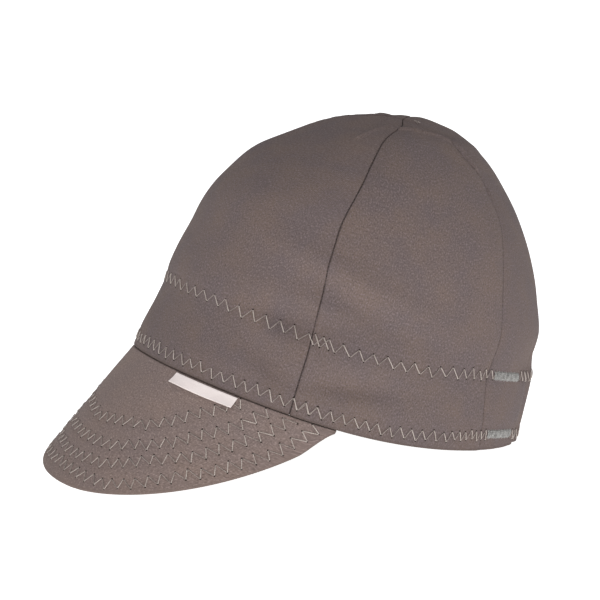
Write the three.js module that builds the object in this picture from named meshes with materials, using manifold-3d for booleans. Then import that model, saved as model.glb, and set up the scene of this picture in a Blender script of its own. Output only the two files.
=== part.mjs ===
// A soft cloth welding cap with a four-panel crown, a stitched soft brim and an inner band.
// Millimetres, +Z up, the wearer's front towards -Y and the wearer's left towards +X.
// The cap stands on the front edge of its brim and the back of its rim, both pressed flat.
import * as THREE from "three";
import { mergeVertices } from "three/addons/utils/BufferGeometryUtils.js";
import Module from "manifold-3d";

const wasm = await Module();
wasm.setup();

const degree = Math.PI / 180;

// Crown
const crownHeight = 145.5; // from the level of the rim up to the crossing of the seams
const rimFront = 106; // from the middle of the rim to its front
const rimBack = 99;
const rimSide = 82;
const squareness = 2.15; // exponent of a level section, 2 for an ellipse
const crownWall = 1.8;
const crossingForward = 2; // how far the crossing lies in front of the rim's middle
const crossingLeft = 7.5; // and how far it has slumped to the wearer's left
const crownRoll = 6 * degree; // the top's slope down to that side
const rollStart = 0.6; // share of the height where the slump begins
const frontSeam = 56 * degree; // bearing of the front seams from the front of the cap
const backSeam = 118 * degree;

// Rim and band
const rimLiftFront = 5.7; // the rim's rise above its level at the front
const rimDropSide = 4.2;
const rimLiftBack = 1.6;
const bandHeight = 41; // cloth of the inner band, from the rim up
const bandWall = 1.4;
const bandInset = 1.5; // the band's lower fold above the rim
const seamGap = 0.3; // between two pieces that are sewn together

// Brim
const brimLength = 74.5; // from the joint to the edge, at the middle
const brimEnd = 4; // the brim's length where it runs out under the rim
const brimHalfAngle = 71 * degree; // bearing of the brim's ends
const brimThickness = 3;
const brimFan = 0.42; // how much the brim's lines fan out, as a share of their bearing
const brimDroop = 63 * degree; // below the level of the rim, at the middle
const brimOutline = 2.25; // exponents of the edge's outline
const brimCorner = 1.08;
const brimBevel = 0.25; // what the edge's bevel takes off each face, as a share of brimThickness

// Label
const labelStart = 20.8 * degree; // bearings of its two ends
const labelEnd = 43.1 * degree;
const labelDrop = 6; // how far it hangs down over the brim
const labelInset = 0.8; // its upper edge below the joint
const labelWall = 1;

// Gathers of the elastic at the back
const gatherStart = 137 * degree; // bearing where they begin on either side
const gatherCount = 10;
const gatherDepth = 1.3;
const gatherFade = { from: 0.8, to: 1.1 }; // where they end, as shares of their reach
const gatherTop = { from: 0.8, to: 1.6 }; // and above, as shares of bandHeight

// Where the cloth meets the table
const pressed = 0.8; // how much of the edges is flattened

// Level sections of the crown from the rim up. height is a share of crownHeight; front, back and
// side are shares of rimFront, rimBack and rimSide; frontSeam and backSeam are shares of the
// seams' bearings.
const sections = [
  { height: 0, front: 1, back: 1, side: 1, frontSeam: 1.07, backSeam: 1 },
  { height: 0.1, front: 0.975, back: 1, side: 0.995, frontSeam: 1.035, backSeam: 0.985 },
  { height: 0.22, front: 0.925, back: 1.005, side: 0.975, frontSeam: 1, backSeam: 0.975 },
  { height: 0.36, front: 0.895, back: 0.995, side: 0.96, frontSeam: 0.99, backSeam: 0.995 },
  { height: 0.5, front: 0.845, back: 0.92, side: 0.935, frontSeam: 0.985, backSeam: 1 },
  { height: 0.64, front: 0.775, back: 0.83, side: 0.865, frontSeam: 0.99, backSeam: 1.015 },
  { height: 0.77, front: 0.61, back: 0.71, side: 0.74, frontSeam: 0.96, backSeam: 1.045 },
  { height: 0.88, front: 0.42, back: 0.57, side: 0.58, frontSeam: 0.87, backSeam: 1.05 },
  { height: 0.95, front: 0.24, back: 0.45, side: 0.43, frontSeam: 0.725, backSeam: 1 },
  { height: 0.985, front: 0.09, back: 0.38, side: 0.3, frontSeam: 0.59, backSeam: 0.98 },
  { height: 1, front: 0, back: 0, side: 0, frontSeam: 0.59, backSeam: 0.98 },
];

// Soft folds and dents. bearing and slope are in degrees, slope from level; height, length and
// width are shares of crownHeight; depth is a share of crownHeight too, inwards if negative.
const folds = [
  { bearing: -22, height: 0.76, slope: 0, length: 0.35, width: 0.06, depth: 0.016 },
  { bearing: 47, height: 0.3, slope: -12, length: 0.1, width: 0.04, depth: -0.022 },
  { bearing: 62, height: 0.47, slope: -14, length: 0.26, width: 0.05, depth: 0.016 },
  { bearing: 66, height: 0.37, slope: -14, length: 0.24, width: 0.05, depth: -0.014 },
  { bearing: 46, height: 0.15, slope: -38, length: 0.09, width: 0.035, depth: -0.018 },
  { bearing: 73, height: 0.12, slope: 4, length: 0.15, width: 0.035, depth: -0.014 },
  { bearing: 0, height: 0.27, slope: 0, length: 0.5, width: 0.045, depth: -0.006 },
  { bearing: -50, height: 0.42, slope: 16, length: 0.22, width: 0.055, depth: -0.014 },
  { bearing: 150, height: 0.3, slope: 10, length: 0.2, width: 0.05, depth: -0.012 },
  { bearing: -140, height: 0.32, slope: -8, length: 0.22, width: 0.05, depth: -0.013 },
  { bearing: -150, height: 0.955, slope: 0, length: 0.5, width: 0.065, depth: 0.012 },
];

// The brim's droop along its width, as shares of brimDroop at shares of brimHalfAngle.
const droops = [
  { across: 0, droop: 1 },
  { across: 0.5, droop: 0.99 },
  { across: 1, droop: 0.965 },
];

// How finely the faces are divided
const bandRows = 4;
const crownRows = 16;
const frontColumns = 22;
const sideColumns = 12;
const backColumns = 44;
const brimColumns = 32;
const brimRows = 7;
const labelColumns = 8;
const labelRows = 2;
const nudge = 0.01; // radians or share of the brim, to find which way a surface faces
const weld = 1e-4; // points that lie closer become one

// A smooth curve through a table, at x in the table's column xs.
function curve(xs, ys, x) {
  const last = xs.length - 1;
  if (x <= xs[0]) return ys[0];
  if (x >= xs[last]) return ys[last];
  const i = xs.findIndex((edge) => x < edge) - 1;
  const slope = (k) => (ys[k + 1] - ys[k]) / (xs[k + 1] - xs[k]);
  // The tangent at a row: none at a crest, and otherwise a mean that can't overshoot.
  const tangent = (k) => {
    if (k === 0) return slope(0);
    if (k === last) return slope(last - 1);
    const [before, after] = [slope(k - 1), slope(k)];
    return before * after > 0 ? (2 * before * after) / (before + after) : 0;
  };
  const step = xs[i + 1] - xs[i];
  const u = (x - xs[i]) / step;
  const bend = u * u * (3 - 2 * u);
  return (
    ys[i] +
    (ys[i + 1] - ys[i]) * bend +
    step * u * (1 - u) * (tangent(i) * (1 - u) - tangent(i + 1) * u)
  );
}

// A point's climb is the angle whose sine is its share of the crown's height.
const climbs = sections.map((row) => Math.asin(row.height));

function sectionAt(column, climb) {
  const values = sections.map((row) => row[column]);
  return curve(climbs, values, climb);
}

const lerp = THREE.MathUtils.lerp;
const smoothstep = THREE.MathUtils.smoothstep;

// The crown's smooth outside at a bearing and climb.
function crownPoint(bearing, climb) {
  const sine = Math.sin(bearing);
  const cosine = Math.cos(bearing);
  const front = rimFront * sectionAt("front", climb);
  const back = rimBack * sectionAt("back", climb);
  const forward = cosine > 0 ? front : back;
  const across = rimSide * sectionAt("side", climb);
  const powers = Math.abs(sine) ** squareness + Math.abs(cosine) ** squareness;
  const round = powers ** (-1 / squareness);
  const share = Math.sin(climb);
  const slump = smoothstep(share, rollStart, 1);
  const x = across * sine * round + crossingLeft * slump;
  return new THREE.Vector3(
    x,
    -crossingForward * Math.max(share, 0) - forward * cosine * round,
    crownHeight * share - Math.tan(crownRoll) * x * slump,
  );
}

function crownNormal(bearing, climb) {
  if (climb > Math.PI / 2 - nudge) return new THREE.Vector3(Math.tan(crownRoll), 0, 1).normalize();
  const along = crownPoint(bearing + nudge, climb).sub(crownPoint(bearing - nudge, climb));
  const up = crownPoint(bearing, climb + nudge).sub(crownPoint(bearing, climb - nudge));
  return along.cross(up).normalize();
}

// An angle as the nearest turn to either side, from minus to plus half a circle.
function turnOf(angle) {
  return Math.atan2(Math.sin(angle), Math.cos(angle));
}

// How far the folds and gathers stand out from the smooth outside.
function foldAt(bearing, climb) {
  const height = Math.sin(climb);
  let out = 0;
  for (const fold of folds) {
    const aside = (turnOf(bearing - fold.bearing * degree) * rimSide) / crownHeight;
    const above = height - fold.height;
    const slope = fold.slope * degree;
    const along = (aside * Math.cos(slope) + above * Math.sin(slope)) / fold.length;
    const across = (above * Math.cos(slope) - aside * Math.sin(slope)) / fold.width;
    out += crownHeight * fold.depth * Math.exp(-along * along - across * across);
  }
  return out - gatherAt(bearing, height * crownHeight);
}

// The elastic's gathers fade out at their ends and above the band.
function gatherAt(bearing, height) {
  const reach = Math.PI - gatherStart;
  const aside = Math.abs(turnOf(bearing - Math.PI));
  const fade = 1 - smoothstep(aside, reach * gatherFade.from, reach * gatherFade.to);
  const above = 1 - smoothstep(height, bandHeight * gatherTop.from, bandHeight * gatherTop.to);
  const wave = 0.5 - 0.5 * Math.cos((gatherCount * Math.PI * aside) / reach);
  return gatherDepth * fade * above * wave;
}

// A point of the crown's cloth at a depth under its outside. A level point stays at the height
// of the outside, as the lower edge does.
function crownSkin(bearing, climb, depth, level) {
  const normal = crownNormal(bearing, climb);
  const inwards = foldAt(bearing, climb) - depth;
  const lifted = level ? Math.asin(Math.sin(climb) - (normal.z * inwards) / crownHeight) : climb;
  return crownPoint(bearing, lifted).addScaledVector(normal, inwards);
}

function rimLift(bearing) {
  const front = Math.max(Math.cos(bearing), 0) ** 2;
  const back = Math.max(-Math.cos(bearing), 0) ** 2;
  return rimLiftFront * front - rimDropSide * Math.sin(bearing) ** 4 + rimLiftBack * back;
}

// The climb at a height above the rim.
function climbAbove(bearing, height) {
  return Math.asin((rimLift(bearing) + height) / crownHeight);
}

// The climb of a row: the first rows share the band's height evenly, the others lead to the top.
function rowClimb(row, bearing) {
  if (row <= bandRows) return climbAbove(bearing, (bandHeight * row) / bandRows);
  return lerp(climbAbove(bearing, bandHeight), Math.PI / 2, (row - bandRows) / crownRows);
}

// The climb that a row has at the side, which the seams' bearings follow in every panel.
function seamClimb(row) {
  return rowClimb(row, Math.PI / 2);
}

// The four seams as bearings that change with the climb, round the cap from the front left.
const seams = {
  frontLeft: (climb) => frontSeam * sectionAt("frontSeam", climb),
  backLeft: (climb) => backSeam * sectionAt("backSeam", climb),
  backRight: (climb) => 2 * Math.PI - backSeam * sectionAt("backSeam", climb),
  frontRight: (climb) => 2 * Math.PI - frontSeam * sectionAt("frontSeam", climb),
  frontRightBefore: (climb) => -frontSeam * sectionAt("frontSeam", climb),
};

// A closed sheet between two grids of points, which face away from each other. A grid's rows
// hold points in step with the other grid's, and a ring's last column meets its first.
function sheet(outer, inner, ring = false) {
  const positions = [];
  const triangle = (a, b, c) => {
    if (a === b || b === c || c === a) return;
    positions.push(...a.toArray(), ...b.toArray(), ...c.toArray());
  };
  const quad = (a, b, c, d) => {
    triangle(a, b, c);
    triangle(a, c, d);
  };
  const top = outer.length - 1;
  const columns = outer[0].length;
  const end = columns - 1;
  for (let row = 0; row < top; row += 1) {
    for (let column = 0; column < (ring ? columns : end); column += 1) {
      const next = (column + 1) % columns;
      quad(outer[row][column], outer[row][next], outer[row + 1][next], outer[row + 1][column]);
      quad(inner[row][column], inner[row + 1][column], inner[row + 1][next], inner[row][next]);
    }
    if (!ring) {
      quad(inner[row][0], outer[row][0], outer[row + 1][0], inner[row + 1][0]);
      quad(outer[row][end], inner[row][end], inner[row + 1][end], outer[row + 1][end]);
    }
  }
  for (let column = 0; column < (ring ? columns : end); column += 1) {
    const next = (column + 1) % columns;
    quad(inner[0][column], inner[0][next], outer[0][next], outer[0][column]);
    quad(outer[top][column], outer[top][next], inner[top][next], inner[top][column]);
  }
  const geometry = new THREE.BufferGeometry();
  geometry.setAttribute("position", new THREE.Float32BufferAttribute(positions, 3));
  return mergeVertices(geometry, weld);
}

// A crown panel between two seams, which all meet at the crossing. It stands off its seams by
// half the gap, along its own middle line.
function crownPanel(startSeam, endSeam, columns) {
  const rows = bandRows + crownRows;
  const middle = (startSeam(0) + endSeam(0)) / 2;
  const standOff = seamGap / 2 / Math.sin((endSeam(0) - startSeam(0)) / 2);
  const offset = new THREE.Vector3(Math.sin(middle), -Math.cos(middle), 0).multiplyScalar(standOff);
  const grid = (depth) => {
    const points = [];
    for (let row = 0; row < rows; row += 1) {
      const nominal = seamClimb(row);
      const line = [];
      for (let column = 0; column <= columns; column += 1) {
        const bearing = lerp(startSeam(nominal), endSeam(nominal), column / columns);
        line.push(crownSkin(bearing, rowClimb(row, bearing), depth, row === 0).add(offset));
      }
      points.push(line);
    }
    const tip = crownSkin(middle, Math.PI / 2, depth, false).add(offset);
    points.push(new Array(columns + 1).fill(tip));
    return points;
  };
  return sheet(grid(0), grid(crownWall));
}

// The inner band follows the inside of the panels, a gap away, with its columns in step with theirs.
function innerBand() {
  const panels = [
    [seams.frontRightBefore, seams.frontLeft, frontColumns],
    [seams.frontLeft, seams.backLeft, sideColumns],
    [seams.backLeft, seams.backRight, backColumns],
    [seams.backRight, seams.frontRight, sideColumns],
  ];
  const grid = (depth) => {
    const points = [];
    for (let row = 0; row <= bandRows; row += 1) {
      const nominal = seamClimb(row);
      const line = [];
      for (const [startSeam, endSeam, columns] of panels) {
        for (let column = 0; column < columns; column += 1) {
          const bearing = lerp(startSeam(nominal), endSeam(nominal), column / columns);
          const climb = row === 0 ? climbAbove(bearing, bandInset) : rowClimb(row, bearing);
          line.push(crownSkin(bearing, climb, depth, row === 0));
        }
      }
      points.push(line);
    }
    return points;
  };
  const outside = crownWall + seamGap;
  return sheet(grid(outside), grid(outside + bandWall), true);
}

// One line of the brim, at a share of its half width: where it starts, where it points and its length.
function brimLine(across) {
  const bearing = across * brimHalfAngle;
  const start = crownSkin(bearing, climbAbove(bearing, 0), 0, true);
  start.z -= seamGap;
  const fan = brimFan * bearing;
  const shares = droops.map((row) => row.across);
  const values = droops.map((row) => row.droop);
  const droop = brimDroop * curve(shares, values, Math.abs(across));
  const heading = new THREE.Vector3(
    Math.sin(fan) * Math.cos(droop),
    -Math.cos(fan) * Math.cos(droop),
    -Math.sin(droop),
  );
  const fullness = Math.max(1 - Math.abs(across) ** brimOutline, 0) ** (1 / brimCorner);
  return { start, heading, length: lerp(brimEnd, brimLength, fullness) };
}

// A point of the brim at a distance from the joint and a depth under its upper face. A level
// point stays at the height of the joint.
function brimPoint(across, distance, depth, level) {
  const { start, heading } = brimLine(across);
  const at = (share) => {
    const line = brimLine(share);
    return line.start.addScaledVector(line.heading, distance);
  };
  const normal = at(across + nudge).sub(at(across - nudge)).cross(heading).normalize();
  const slide = level ? (-normal.z * depth) / heading.z : 0;
  return start.addScaledVector(heading, distance + slide).addScaledVector(normal, depth);
}

// The brim's edge is a fold, bevelled over half its thickness.
function brim() {
  const bevel = brimThickness / 2;
  const edgeDepth = brimBevel * brimThickness;
  const grid = (depth, depthAtEdge) => {
    const points = [];
    for (let row = 0; row <= brimRows + 1; row += 1) {
      const line = [];
      for (let column = 0; column <= brimColumns; column += 1) {
        const across = lerp(-1, 1, column / brimColumns);
        const { length } = brimLine(across);
        const edge = row > brimRows;
        const distance = edge ? length : ((length - bevel) * row) / brimRows;
        line.push(brimPoint(across, distance, edge ? depthAtEdge : depth, row === 0));
      }
      points.push(line);
    }
    return points;
  };
  return sheet(grid(brimThickness, brimThickness - edgeDepth), grid(0, edgeDepth));
}

// The blank label lies on the brim, with its upper edge caught in the joint.
function label() {
  const grid = (depth) => {
    const points = [];
    for (let row = 0; row <= labelRows; row += 1) {
      const line = [];
      for (let column = 0; column <= labelColumns; column += 1) {
        const bearing = lerp(labelStart, labelEnd, column / labelColumns);
        const distance = labelInset + (labelDrop * row) / labelRows;
        line.push(brimPoint(bearing / brimHalfAngle, distance, depth, false));
      }
      points.push(line);
    }
    return points;
  };
  return sheet(grid(-seamGap), grid(-seamGap - labelWall));
}

// The table touches the back of the rim and the brim's edge, and presses both a little.
const rimTouch = crownSkin(Math.PI, climbAbove(Math.PI, 0), 0, true);
const brimTouch = brimPoint(0, brimLine(0).length, (1 - brimBevel) * brimThickness, false);
const standTilt = Math.atan2(rimTouch.z - brimTouch.z, rimTouch.y - brimTouch.y);

const cap = new THREE.Group();
cap.rotation.x = -standTilt;
cap.position.z = rimTouch.y * Math.sin(standTilt) - rimTouch.z * Math.cos(standTilt) - pressed;
cap.updateMatrix();

function solidFrom(geometry) {
  const bare = new THREE.BufferGeometry();
  bare.setAttribute("position", geometry.getAttribute("position"));
  bare.setIndex(geometry.index);
  const merged = mergeVertices(bare, weld);
  const mesh = new wasm.Mesh({
    numProp: 3,
    vertProperties: new Float32Array(merged.getAttribute("position").array),
    triVerts: new Uint32Array(merged.index.array),
  });
  return new wasm.Manifold(mesh);
}

// What lies under the table's surface is cut off.
function pressedFlat(geometry) {
  const size = 4 * (rimFront + brimLength);
  const table = new THREE.BoxGeometry(size, size, size).translate(0, 0, -size / 2);
  table.applyMatrix4(cap.matrix.clone().invert());
  const mesh = solidFrom(geometry).subtract(solidFrom(table)).getMesh();
  const cut = new THREE.BufferGeometry();
  cut.setAttribute("position", new THREE.Float32BufferAttribute(mesh.vertProperties, 3));
  cut.setIndex(Array.from(mesh.triVerts));
  return cut;
}

// Materials
const twill = new THREE.MeshStandardMaterial({ color: 0x70665f, roughness: 0.95, metalness: 0 });
const bandCloth = new THREE.MeshStandardMaterial({ color: 0x6a605a, roughness: 0.95, metalness: 0 });
const labelCloth = new THREE.MeshStandardMaterial({ color: 0xe8e0dd, roughness: 0.85, metalness: 0 });

function add(name, geometry, material) {
  geometry.computeVertexNormals();
  const mesh = new THREE.Mesh(geometry, material);
  mesh.name = name;
  cap.add(mesh);
}

add("crown_front_panel", crownPanel(seams.frontRightBefore, seams.frontLeft, frontColumns), twill);
add("crown_left_panel", crownPanel(seams.frontLeft, seams.backLeft, sideColumns), twill);
add("crown_back_panel", pressedFlat(crownPanel(seams.backLeft, seams.backRight, backColumns)), twill);
add("crown_right_panel", crownPanel(seams.backRight, seams.frontRight, sideColumns), twill);
add("inner_band", innerBand(), bandCloth);
add("brim", pressedFlat(brim()), twill);
add("label_tab", label(), labelCloth);

// The origin lies on the table under the middle of the cap.
const part = new THREE.Group();
part.add(cap);
const middle = new THREE.Box3().setFromObject(part, true).getCenter(new THREE.Vector3());
part.position.set(-middle.x, -middle.y, 0);

export default part;
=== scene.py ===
# A soft cloth welding cap: a four-panel crown, a turned-in band held by two zigzag rows, a short
# row-stitched brim, bar tacks beside the elastic at the back and a blank ribbon label.
import math

import bpy
import numpy as np
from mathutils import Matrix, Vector


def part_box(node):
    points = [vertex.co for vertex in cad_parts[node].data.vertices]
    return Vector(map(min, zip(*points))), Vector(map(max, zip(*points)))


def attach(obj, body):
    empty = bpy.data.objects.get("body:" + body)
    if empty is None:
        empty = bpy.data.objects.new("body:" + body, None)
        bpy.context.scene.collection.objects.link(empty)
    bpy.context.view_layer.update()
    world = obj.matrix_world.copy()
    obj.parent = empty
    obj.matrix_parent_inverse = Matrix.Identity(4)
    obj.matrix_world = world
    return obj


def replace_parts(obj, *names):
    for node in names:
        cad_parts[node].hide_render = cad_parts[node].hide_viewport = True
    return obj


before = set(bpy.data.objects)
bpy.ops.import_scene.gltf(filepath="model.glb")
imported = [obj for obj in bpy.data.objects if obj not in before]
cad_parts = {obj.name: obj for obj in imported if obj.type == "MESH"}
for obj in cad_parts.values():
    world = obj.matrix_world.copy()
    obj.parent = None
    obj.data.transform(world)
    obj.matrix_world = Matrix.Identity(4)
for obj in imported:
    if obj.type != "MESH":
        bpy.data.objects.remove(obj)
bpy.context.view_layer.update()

MM = 0.001  # the cloth is shaped in millimetres
PI = math.pi

# Crown, as in the solids
CROWN_HEIGHT = 145.5
RIM_FRONT, RIM_BACK, RIM_SIDE = 106, 99, 82
SQUARENESS = 2.15
CROWN_WALL = 1.8
CROSSING_FORWARD, CROSSING_LEFT = 2, 7.5
CROWN_ROLL = math.radians(6)
ROLL_START = 0.6
FRONT_SEAM, BACK_SEAM = math.radians(56), math.radians(118)

# Rim and band
RIM_LIFT_FRONT, RIM_DROP_SIDE, RIM_LIFT_BACK = 5.7, 4.2, 1.6
BAND_HEIGHT = 41
BAND_WALL = 1.4
BAND_RADIUS = 90  # on average
BAND_INSET = 0  # its lower edge lies level with the rim, which backs the foot of each seam
SEAM_GAP = 0.3

# Brim
BRIM_LENGTH, BRIM_END = 74.5, 4
BRIM_HALF_ANGLE = math.radians(71)
BRIM_THICKNESS = 3
BRIM_HALF_WIDTH = 92  # measured along its joint
BRIM_FAN = 0.42
BRIM_DROOP = math.radians(63)
BRIM_OUTLINE, BRIM_CORNER = 2.25, 1.08

# Label
LABEL_START, LABEL_END = math.radians(20.8), math.radians(43.1)
LABEL_DROP, LABEL_INSET = 6, 0.8
LABEL_LENGTH, LABEL_THICKNESS = 36, 0.75

# Gathers of the elastic at the back
GATHER_START = math.radians(137)
GATHER_COUNT, GATHER_DEPTH = 10, 1.3

PRESSED = 0.8

# Level sections of the crown: share of the height, then shares of the rim's front, back and side
# and of the two seams' bearings. Near the rim the front seam runs up to 3 mm beside the solids'
# joint, where the sewn one lies.
SECTION_COLUMNS = ("height", "front", "back", "side", "front_seam", "back_seam")
SECTIONS = (
    (0, 1, 1, 1, 1.032, 1),
    (0.1, 0.975, 1, 0.995, 1.028, 0.985),
    (0.22, 0.925, 1.005, 0.975, 1.02, 0.975),
    (0.36, 0.895, 0.995, 0.96, 1.012, 0.995),
    (0.5, 0.845, 0.92, 0.935, 0.99, 1),
    (0.64, 0.775, 0.83, 0.865, 0.99, 1.015),
    (0.77, 0.61, 0.71, 0.74, 0.96, 1.045),
    (0.88, 0.42, 0.57, 0.58, 0.87, 1.05),
    (0.95, 0.24, 0.45, 0.43, 0.725, 1),
    (0.985, 0.09, 0.38, 0.3, 0.59, 0.98),
    (1, 0, 0, 0, 0.59, 0.98),
)
SECTION = {name: np.array(values, float) for name, values in zip(SECTION_COLUMNS, zip(*SECTIONS))}
CLIMBS = np.arcsin(SECTION["height"])

# Soft folds: bearing, height, slope, length, width and depth. Angles in degrees, the rest in
# shares of the crown's height.
FOLDS = (
    (-22, 0.76, 0, 0.35, 0.06, 0.016),
    (47, 0.3, -12, 0.1, 0.04, -0.022),
    (62, 0.47, -14, 0.26, 0.05, 0.016),
    (66, 0.37, -14, 0.24, 0.05, -0.014),
    (46, 0.15, -38, 0.09, 0.035, -0.018),
    (73, 0.12, 4, 0.15, 0.035, -0.014),
    (0, 0.27, 0, 0.5, 0.045, -0.006),
    (-50, 0.42, 16, 0.22, 0.055, -0.014),
    (150, 0.3, 10, 0.2, 0.05, -0.012),
    (-140, 0.32, -8, 0.22, 0.05, -0.013),
    (-150, 0.955, 0, 0.5, 0.065, 0.012),
)
DROOPS = np.array(((0, 1), (0.5, 0.99), (1, 0.965)), float)

# Finer creases of the visible side: bearing, height above the rim, slope, length, width and depth.
# Angles in degrees, the rest in millimetres.
CREASES = (
    (72, 23, 11, 24, 5.5, -1.4),
    (66, 33, 6, 24, 5, 0.6),
    (57, 46, 2, 24, 6, -1.7),
    (58, 55, -6, 18, 5, 0.9),
    (57, 66, -14, 20, 6, -1.7),
    (49, 21, -35, 13, 5, -1.2),
)
# Round the crossing: bearing in degrees and row, their half widths and the depth in millimetres.
TOP_DENTS = (
    (-62, 16.9, 22, 1.6, -1.4),
    (-88, 18.1, 14, 1, -1.2),
    (-128, 18.4, 17, 1.2, 1.4),
    (-168, 17.9, 12, 1.5, -0.7),
    (172, 17.1, 18, 1.8, -1.8),
)
# Ridges of the seams' allowances there: height, width and the way that each runs, in millimetres
# of cloth leftwards and backwards from the crossing.
TOP_RIDGES = (
    (1.2, 1.7, ((16, -23), (17.5, -8), (18.3, 4.4), (23, 12.2), (34, 21.5), (47, 30.5))),
    (0.8, 1.8, ((9, -27), (15, -38), (25, -53))),
)

BAND_ROWS, CROWN_ROWS = 4, 16
TOP_ROW = BAND_ROWS + CROWN_ROWS
ROW_LENGTH = 11.6  # of cloth from one row to the next above the band

# Stitching on the crown
LOWER_ROW, UPPER_ROW = 5.8, 37.3  # the middles of the two zigzag rows above the rim
ZIGZAG_HEIGHT = 5

# The zigzag rows on the brim, as distances from the joint at shares of the brim's half width,
# from the innermost to the one along the edge.
BRIM_ROWS = (
    ((0, 37), (0.1, 35.2), (0.2, 33.2), (0.3, 31), (0.36, 27.4), (0.42, 22.9), (0.54, 11.3), (0.635, 1)),
    ((0, 48.6), (0.22, 46.4), (0.3, 43.2), (0.38, 38.9), (0.47, 33), (0.56, 24.6), (0.64, 16.5), (0.745, 1)),
    ((0, 59), (0.23, 56.5), (0.38, 49), (0.48, 42.3), (0.57, 36.2), (0.66, 26.9), (0.74, 16.7), (0.835, 1)),
    (
        (0, 66.2), (0.3, 65.3), (0.38, 61.9), (0.5, 53.6), (0.62, 43.3),
        (0.7, 36), (0.8, 24.9), (0.86, 15.7), (0.935, 1),
    ),
)


def smoothstep(x, low, high):
    u = np.clip((x - low) / (high - low), 0, 1)
    return u * u * (3 - 2 * u)


def between(first, last, share):
    return first + (last - first) * share


def mound(x, width):
    return np.exp(-((x / width) ** 2))


def turn(angle):
    return np.arctan2(np.sin(angle), np.cos(angle))


def curve(xs, ys, x):
    """A smooth curve through a table, which can't overshoot."""
    slope = np.diff(ys) / np.diff(xs)
    tangent = np.array([slope[0], *slope[1:], slope[-1]])
    product, total = slope[:-1] * slope[1:], slope[:-1] + slope[1:]
    tangent[1:-1] = np.where(product > 0, 2 * product / np.where(total == 0, 1, total), 0)
    x = np.clip(x, xs[0], xs[-1])
    i = np.clip(np.searchsorted(xs, x, side="right") - 1, 0, len(xs) - 2)
    step = xs[i + 1] - xs[i]
    u = (x - xs[i]) / step
    rise = (ys[i + 1] - ys[i]) * u * u * (3 - 2 * u)
    return ys[i] + rise + step * u * (1 - u) * (tangent[i] * (1 - u) - tangent[i + 1] * u)


def section(column, climb):
    return curve(CLIMBS, SECTION[column], climb)


def unit(vectors):
    return vectors / np.maximum(np.linalg.norm(vectors, axis=-1, keepdims=True), 1e-12)


def run_along(points):
    """Millimetres from the first of a line of points to each of them."""
    return np.concatenate([[0], np.cumsum(np.linalg.norm(np.diff(points, axis=0), axis=1))])


def slanted_mound(aside, above, slope, length, width):
    """A long soft mound, turned by a slope in degrees."""
    cosine, sine = math.cos(math.radians(slope)), math.sin(math.radians(slope))
    along = (aside * cosine + above * sine) / length
    across = (above * cosine - aside * sine) / width
    return np.exp(-along * along - across * across)


# The crown's cloth


def crown_point(bearing, climb):
    sine, cosine = np.sin(bearing), np.cos(bearing)
    front = RIM_FRONT * section("front", climb)
    back = RIM_BACK * section("back", climb)
    forward = np.where(cosine > 0, front, back)
    across = RIM_SIDE * section("side", climb)
    powers = np.abs(sine) ** SQUARENESS + np.abs(cosine) ** SQUARENESS
    round_out = powers ** (-1 / SQUARENESS)
    share = np.sin(climb)
    slump = smoothstep(share, ROLL_START, 1)
    x = across * sine * round_out + CROSSING_LEFT * slump
    y = -CROSSING_FORWARD * np.maximum(share, 0) - forward * cosine * round_out
    z = CROWN_HEIGHT * share - math.tan(CROWN_ROLL) * x * slump
    return np.stack([x, y, z], -1)


def crown_normal(bearing, climb):
    step = 0.01
    low = np.minimum(climb, PI / 2 - 2 * step)
    along = crown_point(bearing + step, low) - crown_point(bearing - step, low)
    up = crown_point(bearing, low + step) - crown_point(bearing, low - step)
    return unit(np.cross(along, up))


def girth(bearing, climb):
    """Millimetres along the level section for each radian of bearing."""
    step = 0.005
    ends = crown_point(bearing + step, climb) - crown_point(bearing - step, climb)
    return np.maximum(np.linalg.norm(ends, axis=-1) / (2 * step), 0.05)


def gather_at(bearing, height):
    reach = PI - GATHER_START
    aside = np.abs(turn(bearing - PI))
    fade = 1 - smoothstep(aside, reach * 0.8, reach * 1.1)
    above = 1 - smoothstep(height, BAND_HEIGHT * 0.8, BAND_HEIGHT * 1.6)
    return GATHER_DEPTH * fade * above * (0.5 - 0.5 * np.cos(GATHER_COUNT * PI * aside / reach))


def fold_at(bearing, climb):
    height = np.sin(climb)
    out = np.zeros(np.broadcast(bearing, climb).shape)
    for place, level, slope, length, width, depth in FOLDS:
        aside = turn(bearing - math.radians(place)) * RIM_SIDE / CROWN_HEIGHT
        out += CROWN_HEIGHT * depth * slanted_mound(aside, height - level, slope, length, width)
    return out - gather_at(bearing, height * CROWN_HEIGHT)


def edge_level(height):
    """From 1 at the rim, whose edge is cut level, to 0 a little above it."""
    return np.clip(1 - height / 8, 0, 1)


def crown_skin(bearing, climb, depth, level, relief=0):
    """A point of the crown's cloth at a depth under its outside. level, from 0 to 1, keeps it at
    the outside's height, as the rim's edge is."""
    normal = crown_normal(bearing, climb)
    inwards = fold_at(bearing, climb) + relief - depth
    share = np.sin(climb) - level * normal[..., 2] * inwards / CROWN_HEIGHT
    lifted = np.arcsin(np.clip(share, -1, 1))
    lifted = np.where(level > 0, lifted, climb)
    return crown_point(bearing, lifted) + normal * np.asarray(inwards)[..., None]


def rim_lift(bearing):
    front, back = np.maximum(np.cos(bearing), 0) ** 2, np.maximum(-np.cos(bearing), 0) ** 2
    return RIM_LIFT_FRONT * front - RIM_DROP_SIDE * np.sin(bearing) ** 4 + RIM_LIFT_BACK * back


def climb_above(bearing, height):
    return np.arcsin((rim_lift(bearing) + height) / CROWN_HEIGHT)


def row_climb(row, bearing):
    in_band = climb_above(bearing, BAND_HEIGHT * np.minimum(row, BAND_ROWS) / BAND_ROWS)
    edge = climb_above(bearing, BAND_HEIGHT)
    share = np.clip((row - BAND_ROWS) / CROWN_ROWS, 0, 1)
    return np.where(row <= BAND_ROWS, in_band, edge + (PI / 2 - edge) * share)


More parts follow.
